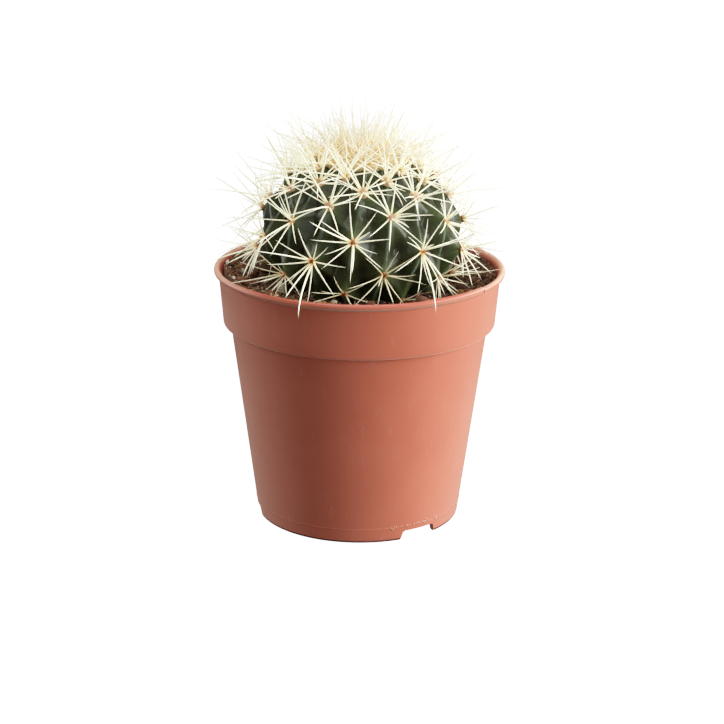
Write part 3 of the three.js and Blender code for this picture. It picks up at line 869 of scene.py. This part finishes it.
def make_soil():
    """The soil's body, turned with a level top that is then laid on the uneven surface."""
    radii = SOIL_EDGE * np.sqrt(np.linspace(1, 0.02, SOIL_RINGS))
    top = POT_HEIGHT
    profile = [
        [0, FLOOR_TOP + GAP],
        [wall_radius(FLOOR_TOP) - SOIL_INSIDE - 1, FLOOR_TOP + GAP],
        [wall_radius(FLOOR_TOP + 2) - SOIL_INSIDE, FLOOR_TOP + 2 + GAP],
        [NECK_RADIUS - SOIL_INSIDE, LEDGE + GAP],
        [collar_radius(LEDGE_TOP) - SOIL_INSIDE, LEDGE_TOP + GAP],
        *[[radius, top] for radius in radii],
        [0, top],
    ]
    points, quads, fans = revolved(profile, SOIL_STEPS)
    on_top = points[:, 2] > top - GAP
    x, y = points[on_top, 0], points[on_top, 1]
    flat = np.stack([x, y, np.zeros_like(x)], -1)
    points[on_top, 2] = soil_height(x, y) + ripples(flat, SOIL_RIPPLES) - BED_BELOW
    piece("soil_bed", Heap().add(points, quads, fans), soil_material(), ["soil"])
    make_crumbs()
    make_fibres()


def on_soil(draws, count, edge_gap):
    """Places spread evenly over the soil between the stem and the pot."""
    outer = collar_radius(SOIL_LEVEL) - WALL - edge_gap
    radius = np.sqrt(draws.uniform(CRUMBS_FROM ** 2, outer ** 2, count))
    places = at_azimuth(radius, draws.uniform(0, 360, count), 0.0)
    places[:, 2] = soil_height(places[:, 0], places[:, 1])
    return places


def make_crumbs():
    """Three sizes of peat crumbs, bark and a few pale grains. The shade picks the kind, paler
    towards the left as painted light.
    """
    crumbs = crumb_material()
    for index, (name, count, (small, large), level, edge_gap) in enumerate(CRUMBS):
        draws = seeded(50 + index)
        centres = on_soil(draws, count, edge_gap)
        sizes = draws.uniform(small, large, (count, 1)) * draws.uniform(0.55, 1.25, (count, 3))
        centres[:, 2] += sizes.min(1) * draws.uniform(0.0, 0.7, count)
        shade = draws.choice(CRUMB_SHADES, count, p=CRUMB_CHANCES)
        # Paler towards the left: painted light
        shade = np.clip(shade - LEFT_PAINTED_LIGHT * centres[:, 0], 0, 1)
        heap = Heap()
        lumps(heap, centres, turned_frames(draws, count), sizes, 60 + index, level, 0.3, shade)
        piece(name, heap, crumbs, sharp=45)


def make_fibres():
    """Coir fibres that lie on the soil."""
    draws = seeded(70)
    count = FIBRE_COUNT
    roots = on_soil(draws, count, 5)
    roots[:, 2] += draws.uniform(0.2, 1.2, count)
    lengths = draws.uniform(2.5, 9, (count, 1))
    directions = unit(draws.normal(size=(count, 3)) * [1, 1, 0.16])
    tips = roots + directions * lengths
    radius = np.hypot(tips[:, 0], tips[:, 1])
    tips[:, :2] *= np.minimum(1, (SOIL_EDGE - 0.9) / radius)[:, None]
    tips[:, 2] = np.maximum(tips[:, 2], soil_height(tips[:, 0], tips[:, 1]) + 0.2)
    bends = draws.normal(size=(count, 3)) * [0.7, 0.7, 0.25]
    heap = Heap()
    tapers(heap, roots, tips, draws.uniform(0.08, 0.2, count), bends, sides=5, steps=6)
    heap.shades = [np.full_like(heap.shades[0], FIBRE_SHADE)]
    piece("soil_fibres", heap, crumb_material())


# The stem: tubercles on a spiral.
# A place on the skin is (u, v): short and long steps of the spiral from the front areole.
SHORT_TURN = SHORT_STEP * TURN - 2 * 360
LONG_TURN = LONG_STEP * TURN - 3 * 360
RIB_STEP = SHORT_STEP + LONG_STEP
BURIED_LEFT = 2 - FRONT_SHARE - BELT_STEP * BURIED_FROM
BURIED_RATE = BELT_STEP / BURIED_LEFT


def share_above(n):
    """Share of the height, from 0 at the crown to 2 at the foot, that is above areole n."""
    n = np.asarray(n, float)
    crown = FRONT_SHARE * np.exp(CROWN_RATE * np.minimum(n, 0))
    belt = FRONT_SHARE + BELT_STEP * n
    buried = 2 - BURIED_LEFT * np.exp(-BURIED_RATE * np.maximum(n - BURIED_FROM, 0))
    return np.where(n < 0, crown, np.where(n < BURIED_FROM, belt, buried))


def relief(n):
    """Size of a tubercle, against those of the belt."""
    n = np.asarray(n, float)
    crown, buried = np.minimum(n, 0), np.maximum(n - BURIED_FROM, 0)
    return np.exp(CROWN_RATE * crown / 2 - BURIED_RATE * buried / 2)


def skin(u, v, depth=0.0):
    """Points at a place on the stem, sunk by a depth that shrinks as the tubercles do."""
    n = SHORT_STEP * u + LONG_STEP * v
    cosine = 1 - share_above(n)
    sine = np.sqrt(np.maximum(1 - cosine ** 2, 0))
    azimuth = FRONT_AZIMUTH + SHORT_TURN * u + LONG_TURN * v
    points = at_azimuth(STEM_RADIUS * sine, azimuth, STEM_HALF_HEIGHT * cosine)
    length = np.linalg.norm(points, axis=-1)
    points *= (1 - depth * relief(n) / length)[..., None]
    points[..., 2] += STEM_CENTRE
    return points


def place_of(n):
    """Where areole n is on the skin."""
    return skin(float(SHORTS_ON * n), float(LONGS_ON * n))


def relief_cell():
    """Depth below the peaks over one cell of the spiral, and the pale line of wax and painted
    highlight along its rib.
    """
    far, near = PIT_PLACE
    dip = (DIP_PLACE, DIP_PLACE, RIB_DIP)
    halves = (
        ((far, near, PIT), ((0, 0, 0), (0.5, 0, SHORT_DIP), (1, 0, 0), (1, DIP_PLACE, LONG_DIP),
                            (1, 1, 0), dip)),
        ((near, far, PIT), ((0, 0, 0), dip, (1, 1, 0), (0.5, 1, SHORT_DIP), (0, 1, 0),
                            (0, DIP_PLACE, LONG_DIP))),
    )
    steps = np.arange(CELL_STEPS) / CELL_STEPS
    u, v = np.meshgrid(steps, steps, indexing="ij")
    depth = np.zeros_like(u)
    for middle, ring in halves:
        for first, second in zip(ring, ring[1:] + ring[:1]):
            edges = np.array([[first[0] - middle[0], second[0] - middle[0]],
                              [first[1] - middle[1], second[1] - middle[1]]])
            off = np.stack([u - middle[0], v - middle[1]])
            a, b = np.einsum("ij,jkl->ikl", np.linalg.inv(edges), off)
            inside = (a > -1e-9) & (b > -1e-9) & (a + b < 1 + 1e-9)
            found = middle[2] + a * (first[2] - middle[2]) + b * (second[2] - middle[2])
            depth[inside] = found[inside]
    for _ in range(RIDGE_SOFTENING):
        for axis in (0, 1):
            depth = (np.roll(depth, 1, axis) + 2 * depth + np.roll(depth, -1, axis)) / 4
    ends = smooth(*STREAK_START, u) * (1 - smooth(*STREAK_END, u))
    rib_wax_highlight = np.exp(-((u - v) / STREAK_WIDTH) ** 2) * ends
    return depth - depth.min(), rib_wax_highlight


def stem_mesh():
    """The spiral's cells, each a fine grid, joined where they meet and closed at both ends."""
    depth_cell, rib_wax_highlight_cell = relief_cell()
    steps = CELL_STEPS
    cells = np.arange(FIRST_AREOLE, LAST_AREOLE - RIB_STEP + 1)
    i, j = np.meshgrid(np.arange(steps), np.arange(steps), indexing="ij")
    around = LONG_STEP * steps

    def keys(di, dj):
        across = SHORTS_ON * cells[:, None, None] * steps + i + di
        along = LONGS_ON * cells[:, None, None] * steps + j + dj
        return (SHORT_STEP * across + LONG_STEP * along) * around + across % around

    corners = [keys(0, 0), keys(1, 0), keys(1, 1), keys(0, 1)]
    known, places = np.unique(np.stack(corners, -1).reshape(-1, 4), return_inverse=True)
    a, b, c, d = places.reshape(-1, 4).T
    triangles = np.concatenate([np.stack([a, b, c], -1), np.stack([a, c, d], -1)])
    heights, across = known // around, known % around
    along = (heights - SHORT_STEP * across) // LONG_STEP
    depth = depth_cell[across % steps, along % steps]
    rib_wax_highlight = rib_wax_highlight_cell[across % steps, along % steps]
    points = skin(across / steps, along / steps, depth)
    # Height on the skin, by which the pits are painted darker as shade
    shade = 1 - depth / PIT
    edges = np.concatenate([triangles[:, [0, 1]], triangles[:, [1, 2]], triangles[:, [2, 0]]])
    codes = edges[:, 0] * len(points) + edges[:, 1]
    backs = edges[:, 1] * len(points) + edges[:, 0]
    open_edges = edges[~np.isin(codes, backs)]
    top, foot = len(points), len(points) + 1
    poles = np.where(points[open_edges[:, 0], 2] > STEM_CENTRE, top, foot)
    fans = np.stack([open_edges[:, 1], open_edges[:, 0], poles], -1)
    ends = [[0, 0, STEM_CENTRE + STEM_HALF_HEIGHT - 1], [0, 0, STEM_CENTRE - STEM_HALF_HEIGHT]]
    return (np.concatenate([points, ends]), np.concatenate([triangles, fans]),
            np.concatenate([shade, [1, 0]]), np.concatenate([rib_wax_highlight, [0, 0]]))


def make_stem():
    points, faces, shade, rib_wax_highlight = stem_mesh()
    away = unit(points - [0, 0, STEM_CENTRE])
    points += away * ripples(points, STEM_RIPPLES)[:, None]
    heap = Heap().add(points, faces, shade=shade)
    made = piece("stem_flesh", heap, stem_material(), ["stem"])
    # The rib's pale line of wax and painted highlight
    rib_wax_highlights = made.data.attributes.new("rib_wax_highlight", "FLOAT", "POINT")
    rib_wax_highlights.data.foreach_set("value", rib_wax_highlight.astype(np.float32))


# The spines: each cluster follows the needles of its node
class Seat:
    """An areole: its place and size, and its directions out of the skin, up along it and across."""

    def __init__(self, n, centre=None):
        self.n = n
        self.centre = place_of(n) if centre is None else centre
        away = self.centre - [0, 0, STEM_CENTRE]
        self.out = unit(away / [STEM_RADIUS ** 2, STEM_RADIUS ** 2, STEM_HALF_HEIGHT ** 2])
        self.across = unit(np.cross([0, 0, 1], self.out))
        self.up = np.cross(self.out, self.across)
        self.size = mix(0.8, 1, float(relief(n)))

    def toward(self, bearing, lift):
        """Directions at a bearing round the areole, in degrees, lifted off the skin."""
        turn, rise = np.radians(bearing)[:, None], np.radians(lift)[:, None]
        flat = self.across * np.cos(turn) + self.up * np.sin(turn)
        return flat * np.cos(rise) + self.out * np.sin(rise)


def points_of(node):
    """The points of a node's mesh, each taken once, and its triangles."""
    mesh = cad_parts[node].data
    places = np.array([vert.co for vert in mesh.vertices]) / MM
    known, index = np.unique(np.round(places, 3), axis=0, return_inverse=True)
    faces = index.reshape(-1)[np.array([face.vertices for face in mesh.polygons])]
    return known, faces


def tips_and_roots(known, faces, far):
    """The points of a mesh that are far out, and the middle of the points joined to each."""
    tips, roots = [], []
    for place in np.flatnonzero(far):
        ring = np.unique(faces[(faces == place).any(1)])
        ring = ring[~far[ring]]
        if len(ring):
            tips.append(known[place])
            roots.append(known[ring].mean(0))
    return np.array(tips), np.array(roots)


def nearest_seat(known, seats):
    gaps = [np.linalg.norm(known - seat.centre, axis=1).min() for seat in seats]
    return seats[int(np.argmin(gaps))]


def within_box(roots, tips):
    """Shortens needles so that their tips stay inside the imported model's box."""
    low, high = (np.array(corner) / MM for corner in CAD_BOX)
    chords = tips - roots
    with np.errstate(divide="ignore", invalid="ignore"):
        room = np.where(chords > 0, (high - roots) / chords, (low - roots) / chords)
    room[chords == 0] = 1
    return roots + chords * np.minimum(1, room.min(1))[:, None]


def sprout(heap, draws, seat, count, *, turn=(0, 360), lift, off=0.0, along=0.6, length, radius,
           bend, **mesh):
    """Adds random needles that leave an areole and stay in the box."""
    aims = seat.toward(draws.uniform(*turn, count), draws.uniform(*lift, count))
    starts = seat.centre + seat.out * off + aims * along
    ends = within_box(starts, starts + aims * draws.uniform(*length, (count, 1)))
    tapers(heap, starts, ends, draws.uniform(*radius, count), draws.normal(size=(count, 3)) * bend,
           **mesh)


def felt_pad(heap, seat, wide, high, shade, seed):
    """A lumpy cushion of felt with short hairs on it."""
    draws = seeded(seed)
    base = np.array([[seat.across, seat.up, seat.out]])
    sizes = seat.size * np.array([[wide, wide * 1.15, high]])
    centre = seat.centre[None] + seat.out * 0.2
    lumps(heap, centre, base, sizes, seed, level=3, rough=0.16, shade=shade)
    count = PAD_HAIRS
    aims = seat.toward(draws.uniform(0, 360, count), draws.uniform(5, 80, count))
    roots = seat.centre + aims * seat.size * wide * 0.7
    tips = roots + aims * draws.uniform(0.5, 1.3, (count, 1))
    bends = draws.normal(size=(count, 3)) * 0.16
    hairs = Heap()
    tapers(hairs, roots, tips, np.full(count, HAIR_RADIUS), bends, sides=3, steps=3)
    heap.add(hairs.points[0], *hairs.faces, shade=shade)


def own_needles(heap, draws, seat, tips, thickness):
    """Adds needles that end at a node's tips. The central ones stand up and are thicker."""
    aims = unit(tips - seat.centre)
    upright = aims @ seat.out
    sideways = unit(aims - upright[:, None] * seat.out)
    roots = seat.centre + seat.out * ROOT_OFF + sideways * ROOT_SPREAD * seat.size
    radii = mix(RADIAL_RADIUS, CENTRAL_RADIUS, smooth(*CENTRAL_LIFT, upright))
    radii = radii * draws.uniform(*THICKNESSES, len(tips)) * mix(0.85, 1, seat.size) * thickness
    lengths = np.linalg.norm(tips - roots, axis=1)[:, None]
    bow = BOW + HANGING_BOW * smooth(*HANGING_LENGTH, lengths)
    bends = (seat.out * bow + draws.normal(size=(len(tips), 3)) * WAVER) * lengths
    tapers(heap, roots, tips, radii, bends)


def make_cluster(node, seats, materials):
    """An areole's fan, which follows its node with finer needles between, and its felt."""
    known, faces = points_of(node)
    seat = nearest_seat(known, seats)
    far = np.linalg.norm(known - seat.centre, axis=1) > TIP_LEAST
    tips, _ = tips_and_roots(known, faces, far)
    past_rim = np.hypot(tips[:, 0], tips[:, 1]) > RIM_RADIUS + HANGS_PAST_RIM
    hangs = (tips[:, 2] < POT_HEIGHT) & past_rim
    tips[hangs, 2] -= np.where(tips[hangs, 0] < 0, *HANG_DROPS)
    draws = seeded(1000 + seat.n)
    low = float(smooth(*LOW_CLUSTERS, seat.n))
    young = float(smooth(*YOUNG_CLUSTERS, seat.n))
    woolly = float(smooth(*WOOLLY_CLUSTERS, seat.n))
    spines = Heap()
    own_needles(spines, draws, seat, tips, mix(1, THIN_LOW, low))
    count = round(mix(mix(BELT_NEEDLES, YOUNG_NEEDLES, young), LOW_NEEDLES, low))
    longest, thick = mix(*BETWEEN_LENGTHS, young), mix(0.8, 1, young)
    sprout(spines, draws, seat, count, lift=(8, 34), along=0.8, length=(0.65 * longest, longest),
           radius=(0.26 * thick, 0.36 * thick), bend=0.4)
    if seat.n <= TUFT_FROM:
        sprout(spines, draws, seat, TUFT_NEEDLES, lift=(45, 86), off=0.8, length=(9, 20),
               radius=(0.26, 0.34), bend=0.5)
    # Low clusters take duller horn: partly age, partly painted shade
    horn = materials["spine" if seat.n < OLD_SHADED_FROM else "old"]
    piece(node.replace("spines", "fan"), spines, horn, [node])
    felt = Heap()
    wide, high = mix(*PAD_WIDTHS, woolly), mix(*PAD_HEIGHTS, woolly)
    felt_pad(felt, seat, wide, high, WOOLLY_SHADE * woolly, 2000 + seat.n)
    piece(node.replace("spines", "felt"), felt, materials["felt"])


def crown_height(radius):
    return STEM_CENTRE + STEM_HALF_HEIGHT * np.sqrt(1 - (radius / STEM_RADIUS) ** 2)


def make_crown(materials):
    """The tuft over the growing point: the node's needles, more between them, and woolly pads."""
    known, faces = points_of("crown")
    offset = known - [0, 0, STEM_CENTRE]
    level = np.linalg.norm(offset / [STEM_RADIUS, STEM_RADIUS, STEM_HALF_HEIGHT], axis=1)
    far = np.linalg.norm(offset, axis=1) * (1 - 1 / level) > CROWN_TIP_LEAST
    tips, roots = tips_and_roots(known, faces, far)
    draws = seeded(300)
    spines, felt = Heap(), Heap()
    outer = smooth(8, 17, np.hypot(roots[:, :1], roots[:, 1:2]))
    long = draws.uniform(size=outer.shape) < mix(*LONG_SHARES, outer)
    tips = np.where(long, tips, mix(roots, tips, draws.uniform(0.4, 0.7, long.shape)))
    lengths = np.linalg.norm(tips - roots, axis=1)[:, None]
    roots = mix(roots, tips, -0.06)
    thick, thin = draws.uniform(0.34, 0.42, len(tips)), draws.uniform(0.24, 0.3, len(tips))
    bends = draws.normal(size=(len(tips), 3)) * 0.02 * lengths
    tapers(spines, roots, tips, np.where(long[:, 0], thick, thin), bends, sides=5, steps=8)
    for n in range(TOP_CLUSTER - 1, CROWN_LAST - 1, -1):
        flat = place_of(n)
        radius = min(math.hypot(flat[0], flat[1]), WOOL_RADIUS - WOOL_MARGIN)
        seat = Seat(n, at_azimuth(radius, FRONT_AZIMUTH + TURN * n, crown_height(radius)))
        sprout(spines, draws, seat, CROWN_NEEDLES, lift=(20, 72), off=1.2, length=(6, 13),
               radius=(0.2, 0.3), bend=0.5, sides=5, steps=8)
        if n > LEANING_LAST:
            sprout(spines, draws, seat, CROWN_NEEDLES, turn=(-170, -10), lift=(18, 50), off=1.2,
                   length=(17, 27), radius=(0.28, 0.36), bend=0.6)
        young = float(smooth(-30, -70, n))
        felt_pad(felt, seat, *CROWN_PAD, 0.75 + 0.25 * young, 3000 - n)
    piece("crown_tuft", spines, materials["crown"], ["crown"])
    below = [[radius, crown_height(radius) - WOOL_DEEP] for radius in (8, 14, 17)]
    above = [[radius, crown_height(radius) + WOOL_HIGH] for radius in (17.6, 14, 8, 4, 0)]
    points, quads, fans = revolved([[0, crown_height(0) - 2], *below, *above], WOOL_STEPS)
    points += unit(points - [0, 0, STEM_CENTRE]) * (0.6 * ripple(points, 3, 81))[:, None]
    felt.add(points, quads, fans, shade=0.9)
    piece("crown_wool", felt, materials["felt"])


def make_spines():
    materials = {
        "spine": needle_material(
            "spine", SPINE_GLOW, (0.0, "a35c2a"), (0.03, "cfa265"), (0.09, "e9e0b6"),
            (0.4, "f3f1d2"), (0.92, "f2efd0"), (1.0, "ebe6c6")),
        # Duller, darker horn near the soil: partly age, partly painted shade
        "old": needle_material(
            "old_shaded_spine", OLD_SHADED_GLOW, (0.0, "8a5026"), (0.03, "b48c58"), (0.09, "c8b88c"),
            (0.4, "d8d0ac"), (0.92, "d6ceaa"), (1.0, "c8be98")),
        "crown": needle_material(
            "crown_spine", CROWN_GLOW, (0.0, "b87c36"), (0.12, "d8b474"), (0.34, "dfcc9c"),
            (0.6, "dbd6bc"), (1.0, "d9d7c6")),
        "felt": felt_material(),
    }
    seats = [Seat(n) for n in range(TOP_CLUSTER, BOTTOM_CLUSTER + 1)]
    for node in sorted(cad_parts):
        if node.startswith("spines_"):
            make_cluster(node, seats, materials)
    make_crown(materials)


def dress_roots():
    """The roots keep their node's mesh and get bark."""
    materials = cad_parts["roots"].data.materials
    materials.clear()
    materials.append(root_material())


# The stage
def make_stage():
    """A plain floor that is seen, and that neither lights the plant nor shades it."""
    mesh = bpy.data.meshes.new("floor")
    far = FLOOR_METRES
    corners = [(-far, -far, 0), (far, -far, 0), (far, far, 0), (-far, far, 0)]
    mesh.from_pydata(corners, [], [(0, 1, 2, 3)])
    mesh.materials.append(floor_material())
    floor = new_object("floor", mesh)
    floor.visible_diffuse = False
    floor.visible_glossy = False
    floor.visible_shadow = False


def softbox(name, azimuth, elevation, width, watts):
    """A square light that stands round the plant and points at its middle."""
    target = Vector((0, 0, AIM_HEIGHT)) * MM
    rise = math.radians(elevation)
    away = Vector(at_azimuth(math.cos(rise), azimuth, math.sin(rise)))
    data = bpy.data.lights.new(name, "AREA")
    data.size = width * MM
    data.energy = watts
    light = new_object(name, data)
    light.location = target + away * LIGHT_REACH * MM
    light.rotation_euler = away.to_track_quat("Z", "Y").to_euler()


def make_lights():
    for light in SOFTBOXES:
        softbox(*light)
    world = bpy.data.worlds.new("studio")
    world.use_nodes = True
    background = world.node_tree.nodes["Background"]
    background.inputs["Color"].default_value = (1, 1, 1, 1)
    background.inputs["Strength"].default_value = WORLD_LIGHT
    bpy.context.scene.world = world


def make_camera():
    data = bpy.data.cameras.new("camera")
    data.sensor_fit = "HORIZONTAL"
    data.sensor_width = SENSOR_MM
    data.lens = SENSOR_MM * FOCAL_PX / FRAME_PX
    data.clip_start, data.clip_end = SEEN_METRES
    camera = new_object("camera", data)
    tilt = Euler((math.radians(90 - CAMERA_PITCH), 0, 0)).to_matrix().to_4x4()
    roll = Matrix.Rotation(math.radians(CAMERA_ROLL), 4, "Z")
    place = Matrix.Translation(tuple(side * MM for side in CAMERA_PLACE))
    camera.matrix_world = place @ tilt @ roll
    bpy.context.scene.camera = camera
    bpy.context.scene.view_settings.view_transform = "Standard"


def soften_highlights():
    """Rolls bright tones off towards white, as a generous exposure does."""
    way = np.linspace(0, 1, SHOULDER_STEPS + 1) ** 2
    tones = mix(SHOULDER_FROM, WHITE_LEVEL, way)
    bent = (1 - np.exp(-SHOULDER_BEND * way)) / (1 - math.exp(-SHOULDER_BEND))
    shown = mix(SHOULDER_FROM, 1, bent)
    view = bpy.context.scene.view_settings
    view.use_curve_mapping = True
    mapping = view.curve_mapping
    mapping.white_level = (WHITE_LEVEL,) * 3
    curve = mapping.curves[3]
    curve.points[-1].location = (1, 1)
    for tone, value in zip(tones[:-1], shown[:-1]):
        curve.points.new(tone / WHITE_LEVEL, value)
    for point in curve.points:
        point.handle_type = "VECTOR"
    mapping.update()


make_camera()
soften_highlights()
make_stage()
make_lights()
make_pot()
make_soil()
make_stem()
make_spines()
dress_roots()
